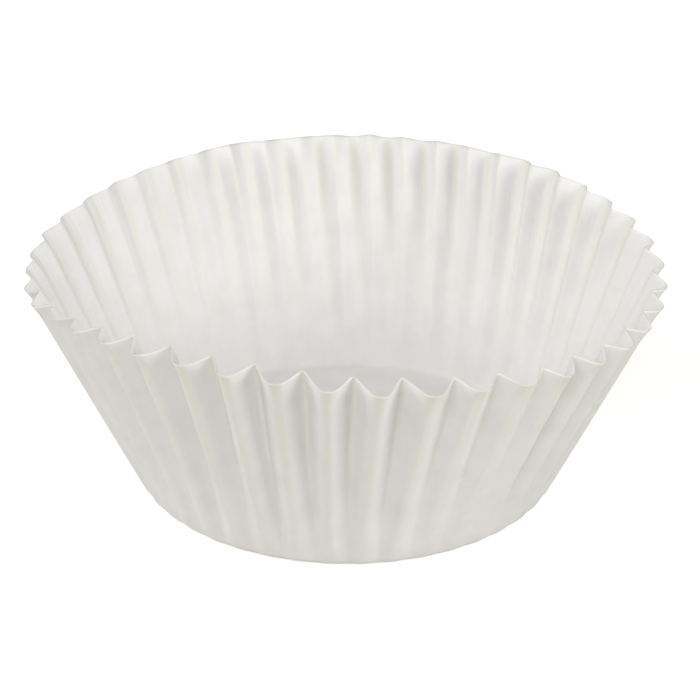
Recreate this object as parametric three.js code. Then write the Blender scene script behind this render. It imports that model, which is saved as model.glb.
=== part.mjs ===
// A fluted baking cup: one round sheet of white greaseproof paper, pressed so that its rim
// stands up in flutes round a flat base. Millimetres, +Z up, the base rests on Z = 0.
import * as THREE from "three";

// The sheet
const PAPER_THICKNESS = 0.06;

// The flat base and the wall that leans out from it. Both sizes run to the corner's sharp edge,
// where the base and the wall would meet without the bend between them.
const BASE_DIAMETER = 50;
const CORNER_RADIUS = 1.2;
const WALL_SLANT = 29.6;
const WALL_LEAN_DEGREES = 19.2;

// The flutes: one outer fold and one inner fold each, deepest at the rim
const FLUTE_COUNT = 44;
const RIM_FOLD_DEPTH = 2.75;
const BASE_FOLD_DEPTH = 0.35;

// How soft a fold is: 0 is a knife crease between straight flanks, 1 a plain wave
const INNER_FOLD_SOFTNESS = 0.03;
const OUTER_FOLD_SOFTNESS = 0.12;

// How finely the sheet is divided
const COLUMNS_PER_FLUTE = 12;
const CORNER_STEPS = 2;
const WALL_STEPS = 2;

const PAPER_COLOUR = 0xf1efe8;
const PAPER_ROUGHNESS = 0.85;

const wallLean = THREE.MathUtils.degToRad(WALL_LEAN_DEGREES);
const cornerTurn = Math.PI / 2 - wallLean;
const cornerReach = CORNER_RADIUS * Math.tan(cornerTurn / 2);
const flatRadius = BASE_DIAMETER / 2 - cornerReach;
const straightSlant = WALL_SLANT - cornerReach;
const columnCount = FLUTE_COUNT * COLUMNS_PER_FLUTE;
const levelCount = CORNER_STEPS + WALL_STEPS + 1;

// How far out a fold stands at an angle round the cup: -0.5 on an inner fold, 0.5 on an outer one.
// Both ends of the wave are drawn towards straight flanks that meet in a crease.
function foldWave(angle) {
  const wave = Math.cos(angle * FLUTE_COUNT);
  const share = (1 - wave) / 2;
  const crease = 1 - THREE.MathUtils.lerp(INNER_FOLD_SOFTNESS, OUTER_FOLD_SOFTNESS, share);
  return -Math.asin(crease * wave) / (2 * Math.asin(crease));
}

// The bend from the base up to the wall: turn is 0 on the flat base, cornerTurn on the wall.
function cornerPoint(turn) {
  const outward = flatRadius + CORNER_RADIUS * Math.sin(turn);
  const upward = CORNER_RADIUS * (1 - Math.cos(turn));
  return { outward, upward, turn };
}

// The smooth middle of the sheet at one level, before it is folded. The depth is that of its folds.
function levelPoint(level) {
  if (level <= CORNER_STEPS) {
    const share = level / CORNER_STEPS;
    return { ...cornerPoint(cornerTurn * share), depth: BASE_FOLD_DEPTH * share };
  }
  const share = (level - CORNER_STEPS) / WALL_STEPS;
  const start = cornerPoint(cornerTurn);
  return {
    outward: start.outward + straightSlant * share * Math.sin(wallLean),
    upward: start.upward + straightSlant * share * Math.cos(wallLean),
    turn: cornerTurn,
    depth: THREE.MathUtils.lerp(BASE_FOLD_DEPTH, RIM_FOLD_DEPTH, share),
  };
}

// A point of the sheet's middle. A fold moves it square to the smooth sheet.
function sheetPoint(level, angle) {
  const { outward, upward, turn, depth } = levelPoint(level);
  const offset = depth * foldWave(angle);
  const radius = outward + offset * Math.sin(turn);
  const height = upward - offset * Math.cos(turn) + PAPER_THICKNESS / 2;
  return new THREE.Vector3(radius * Math.cos(angle), radius * Math.sin(angle), height);
}

// The direction square to the folded sheet, towards the outside of the cup.
function sheetNormal(level, angle) {
  if (level === 0) return new THREE.Vector3(0, 0, -1);
  const smallTurn = Math.PI / (columnCount * 8);
  const round = sheetPoint(level, angle + smallTurn).sub(sheetPoint(level, angle - smallTurn));
  const top = Math.min(level + 0.5, levelCount - 1);
  const rise = sheetPoint(top, angle).sub(sheetPoint(level - 0.5, angle));
  return round.cross(rise).normalize();
}

// The corners of both skins, level by level, and the middle of the base on each skin.
function sheetCorners() {
  const positions = [];
  for (const side of [0.5, -0.5]) {
    for (let level = 0; level < levelCount; level += 1) {
      for (let column = 0; column < columnCount; column += 1) {
        const angle = (2 * Math.PI * column) / columnCount;
        const point = sheetPoint(level, angle);
        point.addScaledVector(sheetNormal(level, angle), side * PAPER_THICKNESS);
        positions.push(point.x, point.y, point.z);
      }
    }
  }
  positions.push(0, 0, 0);
  positions.push(0, 0, PAPER_THICKNESS);
  return positions;
}

// The faces: the outer skin, the inner skin turned the other way, the rim's edge and the base.
function sheetFaces() {
  const faces = [];
  const skinSize = levelCount * columnCount;
  const corner = (skin, level, column) =>
    skin * skinSize + level * columnCount + (column % columnCount);
  const quad = (a, b, c, d) => faces.push(a, b, c, a, c, d);
  const lastLevel = levelCount - 1;
  for (let column = 0; column < columnCount; column += 1) {
    const next = column + 1;
    for (let level = 0; level < lastLevel; level += 1) {
      const above = level + 1;
      quad(
        corner(0, level, column),
        corner(0, level, next),
        corner(0, above, next),
        corner(0, above, column),
      );
      quad(
        corner(1, level, next),
        corner(1, level, column),
        corner(1, above, column),
        corner(1, above, next),
      );
    }
    quad(
      corner(0, lastLevel, column),
      corner(0, lastLevel, next),
      corner(1, lastLevel, next),
      corner(1, lastLevel, column),
    );
    faces.push(2 * skinSize, corner(0, 0, next), corner(0, 0, column));
    faces.push(2 * skinSize + 1, corner(1, 0, column), corner(1, 0, next));
  }
  return faces;
}

function makeSheet() {
  const geometry = new THREE.BufferGeometry();
  geometry.setAttribute("position", new THREE.Float32BufferAttribute(sheetCorners(), 3));
  geometry.setIndex(sheetFaces());
  geometry.computeVertexNormals();
  return geometry;
}

const paper = new THREE.MeshStandardMaterial({
  color: PAPER_COLOUR,
  roughness: PAPER_ROUGHNESS,
  metalness: 0,
});

const bakingCup = new THREE.Mesh(makeSheet(), paper);
bakingCup.name = "baking_cup";

const part = new THREE.Group();
part.name = "fluted_baking_cup";
part.add(bakingCup);

export default part;
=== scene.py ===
"""A white fluted baking cup of greaseproof paper, on a white floor in soft studio light."""

import math

import bpy
import numpy as np
from mathutils import Matrix, Vector


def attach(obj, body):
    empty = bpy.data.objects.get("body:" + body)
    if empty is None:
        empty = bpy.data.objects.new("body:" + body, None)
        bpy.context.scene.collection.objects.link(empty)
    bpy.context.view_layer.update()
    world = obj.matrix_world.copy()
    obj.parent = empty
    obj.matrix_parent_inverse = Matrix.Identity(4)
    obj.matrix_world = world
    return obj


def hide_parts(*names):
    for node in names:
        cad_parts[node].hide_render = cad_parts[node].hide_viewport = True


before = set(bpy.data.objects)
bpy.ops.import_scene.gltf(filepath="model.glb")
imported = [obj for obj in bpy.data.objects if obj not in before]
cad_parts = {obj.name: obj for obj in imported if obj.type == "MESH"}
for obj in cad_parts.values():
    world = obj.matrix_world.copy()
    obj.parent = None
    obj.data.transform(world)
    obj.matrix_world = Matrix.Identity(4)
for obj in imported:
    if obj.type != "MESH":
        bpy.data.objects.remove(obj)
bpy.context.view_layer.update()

# Lengths are written in millimetres and angles in degrees.
# These two turn them into metres and radians.
MM = 0.001
DEGREE = math.pi / 180

# The sheet. The wall's slant and lean are fitted to the photograph's rim and base.
PAPER_THICKNESS = 0.06 * MM
BASE_RADIUS = 25.0 * MM
CORNER_RADIUS = 1.2 * MM
WALL_SLANT = 29.5 * MM
WALL_LEAN = 20.2 * DEGREE

# The flutes. Their depth is judged from the photograph. It grows by a power of
# the way from the corner to the rim.
FLUTE_COUNT = 44
RIM_FOLD_DEPTH = 1.76 * MM
BASE_FOLD_DEPTH = 0.15 * MM
DEPTH_GROWTH = 0.85

# A fold's profile. Its wave is FOLD_PEAK on an outer fold and minus that on an inner one.
# The other three are shares of a flank's width.
FOLD_PEAK = 0.5
INNER_FOLD_SOFTNESS = 0.09
OUTER_FOLD_SHARE = 0.34
OUTER_FOLD_ROUNDING = 0.22

# How the soft wall strays from the CAD part's true cone in slow bulges round the cup:
# (count, size, direction of one bulge round from +X). Depth is a share, the others are angles.
# RIM_TWIST is how far all the flutes turn from the corner to the rim.
DEPTH_BULGES = [
    (1, 0.29, -72 * DEGREE),
    (2, 0.30, 72 * DEGREE),
]
LEAN_BULGES = [
    (1, 1.2 * DEGREE, -52 * DEGREE),
    (2, 1.3 * DEGREE, -19 * DEGREE),
    (3, 3.0 * DEGREE, -43 * DEGREE),
    (4, 0.9 * DEGREE, 0 * DEGREE),
]
RIM_TWIST = 2.2 * DEGREE
TWIST_BULGES = [
    (1, 2.5 * DEGREE, 65 * DEGREE),
    (2, 0.3 * DEGREE, -37 * DEGREE),
    (3, 2.3 * DEGREE, 47 * DEGREE),
]

# How single flutes differ from each other. The uneven cut grows by a power of the way up.
SEED = 7
FLUTE_DEPTH_SPREAD = 0.12
FLUTE_SHIFT_SPREAD = 0.20 * DEGREE
FLUTE_LEAN_SPREAD = 0.22 * DEGREE
RIM_CUT_SPREAD = 0.06 * MM
RIM_CUT_GROWTH = 4

# The rim flares, its outer folds most, and its inner folds open by a share of their depth
RIM_FLARE = 0.30 * MM
RIM_FLARE_LENGTH = 2.4 * MM
FLARE_BETWEEN_FOLDS = 0.15
FLARE_BY_FOLD = 1.7
RIM_OPENING = 0.34
RIM_OPENING_BULGES = [(1, 0.30, 125 * DEGREE)]

# Fine streaks up the wall: how many to a radian, and their length as a share of the wall
STREAK_DENSITY = 28.0
STREAK_LENGTH_SHARE = 0.7

# The base stands clear in the middle, and shallow marks of the pleats run in from its edge
BASE_DOME = 0.30 * MM
PLEAT_MARK_DEPTH = 0.05 * MM
PLEAT_MARK_LENGTH = 3.0 * MM

# How finely the sheet is divided. The wall's rings crowd towards the rim by a power.
COLUMNS_PER_FLUTE = 24
BASE_RINGS = 8
CORNER_RINGS = 5
WALL_RINGS = 24
RING_CROWDING = 1.4

# The camera, as it stood for the photograph. Its lens and sensor are in millimetres.
CAMERA_AIM = Vector((0.33, 0.0, 14.77)) * MM
CAMERA_DISTANCE = 313.4 * MM
CAMERA_RISE = 26.65 * DEGREE
CAMERA_ROLL = 0.33 * DEGREE
CAMERA_LENS = 135.6
CAMERA_SENSOR = 36.0
CAMERA_NEAR = 10 * MM

CORNER_TURN = math.pi / 2 - WALL_LEAN
CORNER_REACH = CORNER_RADIUS * math.tan(CORNER_TURN / 2)
FLAT_RADIUS = BASE_RADIUS - CORNER_REACH
COLUMNS = FLUTE_COUNT * COLUMNS_PER_FLUTE
WALL_SHARES = 1 - (1 - np.arange(1, WALL_RINGS + 1) / WALL_RINGS) ** RING_CROWDING

random = np.random.default_rng(SEED)


def bulges_at(angle, bulges):
    """What a set of slow bulges comes to at angles round the cup."""
    return sum(size * np.cos(count * (angle - direction)) for count, size, direction in bulges)


def per_fold(angle, spread):
    """One random value for each fold, joined smoothly from fold to fold."""
    count = 2 * FLUTE_COUNT
    values = random.normal(0.0, spread, count)
    place = angle / (2 * math.pi) * count
    before = np.floor(place).astype(int)
    share = place - before
    share = share * share * (3 - 2 * share)
    return values[before % count] * (1 - share) + values[(before + 1) % count] * share


def flank_rise(share):
    """How far a flank has risen at a share of the way from an inner fold to the outer one."""
    rounded = np.hypot(share, INNER_FOLD_SOFTNESS) - INNER_FOLD_SOFTNESS
    straight = rounded / (1 - OUTER_FOLD_SHARE)
    return straight + 1 - np.hypot(straight - 1, OUTER_FOLD_ROUNDING)


def fold_wave(angle):
    """The wave of a sharp inner fold and a flat outer one, with straight flanks between."""
    share = np.abs((angle * FLUTE_COUNT / math.pi + 1) % 2 - 1)
    low, high = flank_rise(0.0), flank_rise(1.0)
    return (flank_rise(share) - low) / (high - low) - FOLD_PEAK


class Sheet:
    """The middle of the folded paper, ring by ring from the base's centre to the rim."""

    def __init__(self):
        self.angle = np.arange(COLUMNS) * (2 * math.pi / COLUMNS)
        self.fold = fold_wave(self.angle)
        self.lean = WALL_LEAN + bulges_at(self.angle, LEAN_BULGES)
        self.lean += per_fold(self.angle, FLUTE_LEAN_SPREAD)
        self.twist = RIM_TWIST + bulges_at(self.angle, TWIST_BULGES)
        self.twist += per_fold(self.angle, FLUTE_SHIFT_SPREAD)
        self.depth = 1 + bulges_at(self.angle, DEPTH_BULGES)
        self.depth += per_fold(self.angle, FLUTE_DEPTH_SPREAD)
        self.cut = per_fold(self.angle, RIM_CUT_SPREAD)
        self.opening = RIM_OPENING + bulges_at(self.angle, RIM_OPENING_BULGES)

    def place(self, outward, upward, turn, depth, twist_share):
        """Points at a distance from the axis and a height, folded by depth square to the sheet."""
        offset = depth * self.depth * self.fold
        radius = outward + offset * np.sin(turn)
        height = upward - offset * np.cos(turn) + PAPER_THICKNESS / 2
        angle = self.angle + twist_share * self.twist
        return np.stack([radius * np.cos(angle), radius * np.sin(angle), height], axis=-1)

    def base_ring(self, share):
        """A ring of the flat base, share 0 near its centre and 1 where the corner starts."""
        outward = FLAT_RADIUS * share
        dome = BASE_DOME * (1 - share**2) ** 2
        mark = max(0.0, 1 - (FLAT_RADIUS - outward) / PLEAT_MARK_LENGTH)
        return self.place(outward, dome, 0.0, -PLEAT_MARK_DEPTH * mark**2, 0.0)

    def corner_ring(self, share):
        """A ring of the bend between the base and the wall."""
        turn = (math.pi / 2 - self.lean) * share
        outward = FLAT_RADIUS + CORNER_RADIUS * np.sin(turn)
        upward = CORNER_RADIUS * (1 - np.cos(turn))
        depth = BASE_FOLD_DEPTH * share - PLEAT_MARK_DEPTH * (1 - share)
        return self.place(outward, upward, turn, depth, 0.0)

    def wall_ring(self, share):
        """A ring of the wall, share 0 at the corner and 1 at the cut rim."""
        turn = math.pi / 2 - self.lean
        slant = (WALL_SLANT - CORNER_REACH + self.cut * share**RIM_CUT_GROWTH) * share
        outward = FLAT_RADIUS + CORNER_RADIUS * np.sin(turn) + slant * np.sin(self.lean)
        upward = CORNER_RADIUS * (1 - np.cos(turn)) + slant * np.cos(self.lean)
        depth = BASE_FOLD_DEPTH + (RIM_FOLD_DEPTH - BASE_FOLD_DEPTH) * share**DEPTH_GROWTH
        flare = max(0.0, 1 - (1 - share) * WALL_SLANT / RIM_FLARE_LENGTH) ** 2
        outward = outward + RIM_FLARE * flare * (FLARE_BETWEEN_FOLDS + FLARE_BY_FOLD * self.fold)
        opened = depth * self.depth * self.opening * flare
        outward = outward + opened * (FOLD_PEAK - self.fold)
        return self.place(outward, upward, turn, depth, share)

    def rings(self):
        """All rings as an array of ring, column and coordinate."""
        made = [self.base_ring((i + 1) / BASE_RINGS) for i in range(BASE_RINGS)]
        made += [self.corner_ring((i + 1) / CORNER_RINGS) for i in range(CORNER_RINGS)]
        made += [self.wall_ring(share) for share in WALL_SHARES]
        return np.array(made)


def ring_normals(rings):
    """Directions square to the sheet, towards the outside of the cup."""
    round_way = np.roll(rings, -1, axis=1) - np.roll(rings, 1, axis=1)
    rise_way = np.gradient(rings, axis=0)
    normals = np.cross(round_way, rise_way)
    return normals / np.linalg.norm(normals, axis=2, keepdims=True)


def quads(low, high, first, reverse):
    """Faces between two rings of points, whose numbers start at low and high."""
    column = np.arange(COLUMNS)
    after = (column + 1) % COLUMNS
    corners = [low + column, low + after, high + after, high + column]
    if reverse:
        corners.reverse()
    return np.stack(corners, axis=-1) + first


def sheet_faces(ring_count):
    """Four-sided faces of both skins and of the rim's cut edge."""
    skin = ring_count * COLUMNS
    faces = []
    for ring in range(ring_count - 1):
        low = ring * COLUMNS
        faces.append(quads(low, low + COLUMNS, 0, False))
        faces.append(quads(low, low + COLUMNS, skin, True))
    top = (ring_count - 1) * COLUMNS
    faces.append(quads(top, top + skin, 0, False))
    return np.concatenate(faces).tolist()


def base_fans(skin):
    """Triangles that close the middle of the base on both skins."""
    fans = []
    for column in range(COLUMNS):
        after = (column + 1) % COLUMNS
        fans.append((2 * skin, after, column))
        fans.append((2 * skin + 1, skin + column, skin + after))
    return fans


def make_cup():
    """The cup as one closed sheet with a paper's thickness."""
    sheet = Sheet()
    rings = sheet.rings()
    normals = ring_normals(rings)
    outer = (rings + normals * PAPER_THICKNESS / 2).reshape(-1, 3)
    inner = (rings - normals * PAPER_THICKNESS / 2).reshape(-1, 3)
    centre = rings[0].mean(axis=0)
    half = np.array([0.0, 0.0, PAPER_THICKNESS / 2])
    points = np.concatenate([outer, inner, [centre - half, centre + half]])
    points[:, 2] -= points[:, 2].min()
    skin = len(outer)
    mesh = bpy.data.meshes.new("fluted_cup")
    faces = sheet_faces(len(rings))
    mesh.from_pydata(points.tolist(), [], faces + base_fans(skin))
    # The sheet's last faces are the rim's cut edge. They are shaded flat, as a thin line.
    smooth = [True] * len(mesh.polygons)
    smooth[len(faces) - COLUMNS : len(faces)] = [False] * COLUMNS
    mesh.polygons.foreach_set("use_smooth", smooth)
    fold = np.tile(sheet.fold, len(rings))
    wall = np.zeros(len(rings))
    wall[-WALL_RINGS:] = WALL_SHARES
    rise = np.repeat(wall, COLUMNS)
    add_values(mesh, "fold", np.concatenate([fold, fold, [0, 0]]))
    add_values(mesh, "rise", np.concatenate([rise, rise, [0, 0]]))
    along = wall / STREAK_LENGTH_SHARE
    add_places(mesh, "streak_place", streak_places(sheet.angle, along))
    mesh.update()
    cup = bpy.data.objects.new("fluted_cup", mesh)
    bpy.context.scene.collection.objects.link(cup)
    return cup


def add_values(mesh, name, values):
    """Stores one number for each point, for the material to read."""
    layer = mesh.attributes.new(name, "FLOAT", "POINT")
    layer.data.foreach_set("value", np.asarray(values, dtype=np.float32))


def streak_places(angle, along):
    """Where each point lies in a noise that is drawn out up the wall, without a seam round it."""
    turned = STREAK_DENSITY * np.stack([np.cos(angle), np.sin(angle)], axis=-1)
    skin = np.zeros((len(along), len(angle), 3))
    skin[:, :, :2] = turned
    skin[:, :, 2] = along[:, None]
    skin = skin.reshape(-1, 3)
    return np.concatenate([skin, skin, np.zeros((2, 3))])


def add_places(mesh, name, places):
    """Stores one place for each point, for the material to read."""
    layer = mesh.attributes.new(name, "FLOAT_VECTOR", "POINT")
    layer.data.foreach_set("vector", np.asarray(places, dtype=np.float32).reshape(-1))


class Nodes:
    """A short way to write a material's nodes."""

    def __init__(self, tree):
        self.tree = tree
        tree.nodes.clear()

    def add(self, kind, **settings):
        """A new node with its settings."""
        node = self.tree.nodes.new(kind)
        for name, value in settings.items():
            setattr(node, name, value)
        return node

    def link(self, source, target):
        """A wire from an output to an input."""
        self.tree.links.new(source, target)

    def stored(self, name):
        """What the mesh stores under a name."""
        return self.add("ShaderNodeAttribute", attribute_name=name)

    def noise(self, place, scale, detail, roughness):
        """Noise between 0 and 1 at a place."""
        node = self.add("ShaderNodeTexNoise")
        node.inputs["Scale"].default_value = scale
        node.inputs["Detail"].default_value = detail
        node.inputs["Roughness"].default_value = roughness
        self.link(place, node.inputs["Vector"])
        return node.outputs["Fac"]

    def ramp(self, value, low, high, to_low=0.0, to_high=1.0):
        """A smooth step from one value to another."""
        node = self.add("ShaderNodeMapRange", interpolation_type="SMOOTHSTEP")
        node.inputs["From Min"].default_value = low
        node.inputs["From Max"].default_value = high
        node.inputs["To Min"].default_value = to_low
        node.inputs["To Max"].default_value = to_high
        self.link(value, node.inputs["Value"])
        return node.outputs["Result"]

    def bump(self, height, distance, normal=None):
        """A surface direction bent by a height, on top of an earlier one."""
        node = self.add("ShaderNodeBump")
        node.inputs["Distance"].default_value = distance
        self.link(height, node.inputs["Height"])
        if normal is not None:
            self.link(normal, node.inputs["Normal"])
        return node.outputs["Normal"]

    def math(self, operation, first, second):
        """One operation on two numbers or outputs."""
        node = self.add("ShaderNodeMath", operation=operation)
        for socket, value in zip(node.inputs, (first, second)):
            if isinstance(value, (int, float)):
                socket.default_value = value
            else:
                self.link(value, socket)
        return node.outputs["Value"]

    def mix(self, share, first, second):
        """A colour between two others."""
        node = self.add("ShaderNodeMix", data_type="RGBA")
        self.link(share, node.inputs["Factor"])
        for socket, value in ((node.inputs["A"], first), (node.inputs["B"], second)):
            if isinstance(value, tuple):
                socket.default_value = value
            else:
                self.link(value, socket)
        return node.outputs["Result"]


# Colours of the paper, linear: its white, its clouds, painted shade with a yellow tint on its
# folds, painted shade on its cut edge, and the light that comes through it
PAPER_WHITE = (0.86, 0.855, 0.845, 1.0)
PAPER_CLOUD = (0.82, 0.815, 0.803, 1.0)
PAPER_CREASE_SHADE = (0.83, 0.82, 0.74, 1.0)
PAPER_EDGE_SHADE = (0.66, 0.654, 0.635, 1.0)
PAPER_GLOW = (0.86, 0.851, 0.815, 1.0)
TRANSLUCENCE = 0.12

# Where the painted shade on the folds and on the cut edge starts, and how strong the fold shade is
CREASE_SHADE_START = 0.34
CREASE_SHADE_STRENGTH = 0.7
EDGE_SHADE_START = 0.998

# Noise of the paper (scale, detail and roughness), where it fades in, and how high it stands
CLOUD_NOISE = (260.0, 4.0, 0.6)
FIBRE_NOISE = (2600.0, 6.0, 0.65)
STREAK_NOISE = (1.0, 2.2, 0.5)
FIBRE_STRETCH = (1.0, 1.0, 0.35)
CLOUD_RANGE = (0.35, 0.7)
FIBRE_RANGE = (0.3, 0.7)
CLOUD_BUMP = 0.03 * MM
FIBRE_BUMP = 0.012 * MM
STREAK_BUMP = 0.24 * MM

# Gloss of the paper
ROUGHNESS_RANGE = (0.5, 0.68)
SPECULAR = 0.35
SHEEN = 0.08
SHEEN_ROUGHNESS = 0.6


def paper_material():
    """Greaseproof paper: clouded, finely fibred, faintly glossy, and it lets light through."""
    material = bpy.data.materials.new("greaseproof_paper")
    material.use_nodes = True
    nodes = Nodes(material.node_tree)
    place = nodes.add("ShaderNodeTexCoord").outputs["Object"]
    stretch = nodes.add("ShaderNodeMapping")
    stretch.inputs["Scale"].default_value = FIBRE_STRETCH
    nodes.link(place, stretch.inputs["Vector"])
    fold = nodes.stored("fold").outputs["Fac"]
    rise = nodes.stored("rise").outputs["Fac"]
    cloud = nodes.noise(place, *CLOUD_NOISE)
    fibre = nodes.noise(stretch.outputs["Vector"], *FIBRE_NOISE)
    streak = nodes.noise(nodes.stored("streak_place").outputs["Vector"], *STREAK_NOISE)

    # Painted shade: the folds are darkened and tinted yellow, more strongly towards the rim.
    crease_shade = nodes.ramp(nodes.math("ABSOLUTE", fold, 0.0), CREASE_SHADE_START, FOLD_PEAK)
    crease_shade = nodes.math("MULTIPLY", nodes.math("MULTIPLY", crease_shade, rise), CREASE_SHADE_STRENGTH)
    colour = nodes.mix(nodes.ramp(cloud, *CLOUD_RANGE), PAPER_WHITE, PAPER_CLOUD)
    colour = nodes.mix(crease_shade, colour, PAPER_CREASE_SHADE)
    # Painted shade: the rim's cut edge is darkened so that it shows no bright line.
    colour = nodes.mix(nodes.ramp(rise, EDGE_SHADE_START, 1.0), colour, PAPER_EDGE_SHADE)
    roughness = nodes.ramp(fibre, *FIBRE_RANGE, *ROUGHNESS_RANGE)

    normal = nodes.bump(fibre, FIBRE_BUMP)
    normal = nodes.bump(cloud, CLOUD_BUMP, normal)
    normal = nodes.bump(nodes.math("MULTIPLY", streak, rise), STREAK_BUMP, normal)

    front = nodes.add("ShaderNodeBsdfPrincipled")
    front.inputs["Specular IOR Level"].default_value = SPECULAR
    front.inputs["Sheen Weight"].default_value = SHEEN
    front.inputs["Sheen Roughness"].default_value = SHEEN_ROUGHNESS
    nodes.link(colour, front.inputs["Base Color"])
    nodes.link(roughness, front.inputs["Roughness"])
    nodes.link(normal, front.inputs["Normal"])
    through = nodes.add("ShaderNodeBsdfTranslucent")
    through.inputs["Color"].default_value = PAPER_GLOW
    nodes.link(normal, through.inputs["Normal"])
    both = nodes.add("ShaderNodeMixShader")
    both.inputs["Fac"].default_value = TRANSLUCENCE
    nodes.link(front.outputs["BSDF"], both.inputs[1])
    nodes.link(through.outputs["BSDF"], both.inputs[2])
    output = nodes.add("ShaderNodeOutputMaterial")
    nodes.link(both.outputs["Shader"], output.inputs["Surface"])
    return material


# The floor and the light, in metres and watts. A lamp has a name, a place, a side and a power.
FLOOR_SIZE = 3.0
FLOOR_COLOUR = (0.62, 0.60, 0.55, 1.0)
FLOOR_LIFT = 0.66
WORLD_COLOUR = (1.0, 1.0, 1.0, 1.0)
WORLD_STRENGTH = 0.20
LAMP_AIM = (0.0, 0.0, 0.015)
LAMPS = [
    ("right", (0.47, -0.27, 0.32), 0.36, 2.22),
    ("left", (-0.49, -0.06, 0.38), 0.36, 1.82),
    ("front", (-0.15, -0.58, 0.39), 0.40, 2.06),
]


def shown_directly(nodes):
    """1 for rays from the camera, also by way of a mirror or glass, and 0 for the others."""
    path = nodes.add("ShaderNodeLightPath")
    seen = nodes.math("MAXIMUM", path.outputs["Is Camera Ray"], path.outputs["Is Glossy Ray"])
    return nodes.math("MAXIMUM", seen, path.outputs["Is Transmission Ray"])


def floor_material():
    """A white floor that shows as the plain background but keeps the cup's shadow."""
    material = bpy.data.materials.new("floor_white")
    material.use_nodes = True
    nodes = Nodes(material.node_tree)
    matt = nodes.add("ShaderNodeBsdfDiffuse")
    matt.inputs["Color"].default_value = FLOOR_COLOUR
    lift = nodes.add("ShaderNodeEmission")
    nodes.link(nodes.math("MULTIPLY", shown_directly(nodes), FLOOR_LIFT), lift.inputs["Strength"])
    both = nodes.add("ShaderNodeAddShader")
    nodes.link(matt.outputs["BSDF"], both.inputs[0])
    nodes.link(lift.outputs["Emission"], both.inputs[1])
    output = nodes.add("ShaderNodeOutputMaterial")
    nodes.link(both.outputs["Shader"], output.inputs["Surface"])
    return material


def make_floor():
    """A plain floor under the cup."""
    half = FLOOR_SIZE / 2
    corners = [(-half, -half, 0), (half, -half, 0), (half, half, 0), (-half, half, 0)]
    mesh = bpy.data.meshes.new("floor")
    mesh.from_pydata(corners, [], [(0, 1, 2, 3)])
    mesh.materials.append(floor_material())
    floor = bpy.data.objects.new("floor", mesh)
    bpy.context.scene.collection.objects.link(floor)


def make_world():
    """An even pale surround, which shows as white to the camera."""
    world = bpy.data.worlds.new("studio")
    world.use_nodes = True
    nodes = Nodes(world.node_tree)
    strength = nodes.ramp(shown_directly(nodes), 0.0, 1.0, WORLD_STRENGTH, 1.0)
    background = nodes.add("ShaderNodeBackground")
    background.inputs["Color"].default_value = WORLD_COLOUR
    nodes.link(strength, background.inputs["Strength"])
    output = nodes.add("ShaderNodeOutputWorld")
    nodes.link(background.outputs["Background"], output.inputs["Surface"])
    bpy.context.scene.world = world


def add_softbox(name, place, side, power):
    """A square lamp that faces the cup."""
    lamp = bpy.data.lights.new(name, "AREA")
    lamp.size = side
    lamp.energy = power
    softbox = bpy.data.objects.new(name, lamp)
    softbox.location = place
    softbox.rotation_euler = (Vector(place) - Vector(LAMP_AIM)).to_track_quat("Z", "Y").to_euler()
    bpy.context.scene.collection.objects.link(softbox)


def make_lights():
    """Broad lamps to the right, the left and the front."""
    for lamp in LAMPS:
        add_softbox(*lamp)


def make_camera():
    """The photograph's view, from the -Y side and above."""
    back = Vector((0.0, -math.cos(CAMERA_RISE), math.sin(CAMERA_RISE)))
    up = Vector((0.0, math.sin(CAMERA_RISE), math.cos(CAMERA_RISE)))
    right = Vector((1.0, 0.0, 0.0))
    cosine, sine = math.cos(CAMERA_ROLL), math.sin(CAMERA_ROLL)
    rolled_right = cosine * right + sine * up
    rolled_up = cosine * up - sine * right
    lens = bpy.data.cameras.new("camera")
    lens.sensor_width = CAMERA_SENSOR
    lens.lens = CAMERA_LENS
    lens.clip_start = CAMERA_NEAR
    camera = bpy.data.objects.new("camera", lens)
    turn = Matrix((rolled_right, rolled_up, back)).transposed()
    camera.matrix_world = Matrix.Translation(CAMERA_AIM + CAMERA_DISTANCE * back) @ turn.to_4x4()
    bpy.context.scene.collection.objects.link(camera)
    bpy.context.scene.camera = camera


make_camera()
cup = make_cup()
cup.data.materials.append(paper_material())
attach(cup, "root")
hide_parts("baking_cup")
make_floor()
make_world()
make_lights()
bpy.context.scene.view_settings.view_transform = "Standard"
